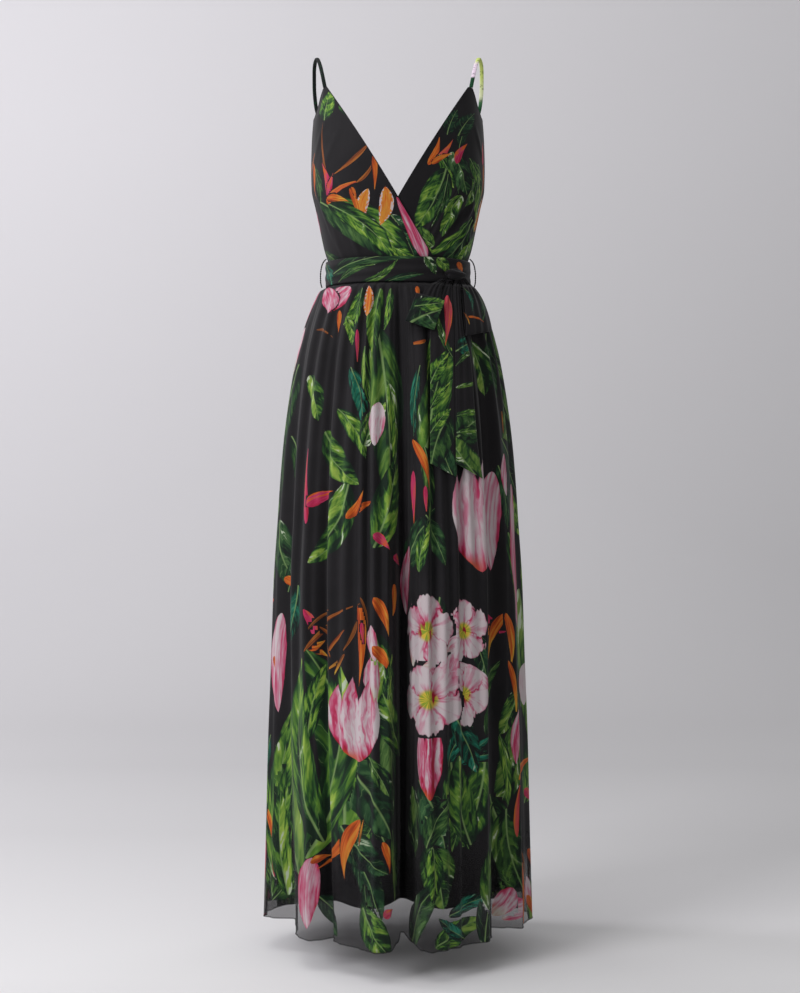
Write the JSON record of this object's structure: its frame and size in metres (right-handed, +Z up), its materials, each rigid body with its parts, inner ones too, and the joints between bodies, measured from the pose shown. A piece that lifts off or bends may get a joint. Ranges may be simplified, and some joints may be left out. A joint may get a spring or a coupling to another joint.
{
  "type": "maxi dress",
  "caption": "Sleeveless wrap-front maxi dress in worn form, with thin straps, a gathered skirt over a shorter lining, and a sash tied at the waist.",
  "frame": {"origin": "midway between the tops of the two straps, where the wearer's shoulders hold the dress", "axes": "+Z up, -Y towards the dress's front, +X towards the wearer's left"},
  "size_m": [0.4517, 0.4526, 1.4498],
  "materials": {
    "printed_chiffon": "sheer crepe chiffon, black ground with a bright leaf and flower print",
    "sash_chiffon": "the same printed chiffon, doubled and pressed into a sash",
    "strap_rouleau": "bias rouleau of the same print",
    "lining_cloth": "matt black lining",
    "carrier_thread": "black chained thread"
  },
  "bodies": {
    "root": {"bodice_front_over": "printed_chiffon", "bodice_front_under": "printed_chiffon", "bodice_back": "printed_chiffon", "skirt_front": "printed_chiffon", "skirt_back": "printed_chiffon", "lining_front": "lining_cloth", "lining_back": "lining_cloth", "belt_band": "sash_chiffon", "belt_knot": "sash_chiffon", "belt_loop": "sash_chiffon", "belt_loop_end": "sash_chiffon", "belt_tail_front": "sash_chiffon", "belt_tail_rear": "sash_chiffon", "strap_left": "strap_rouleau", "strap_right": "strap_rouleau", "thread_carrier_left": "carrier_thread", "thread_carrier_right": "carrier_thread"}
  },
  "joints": []
}
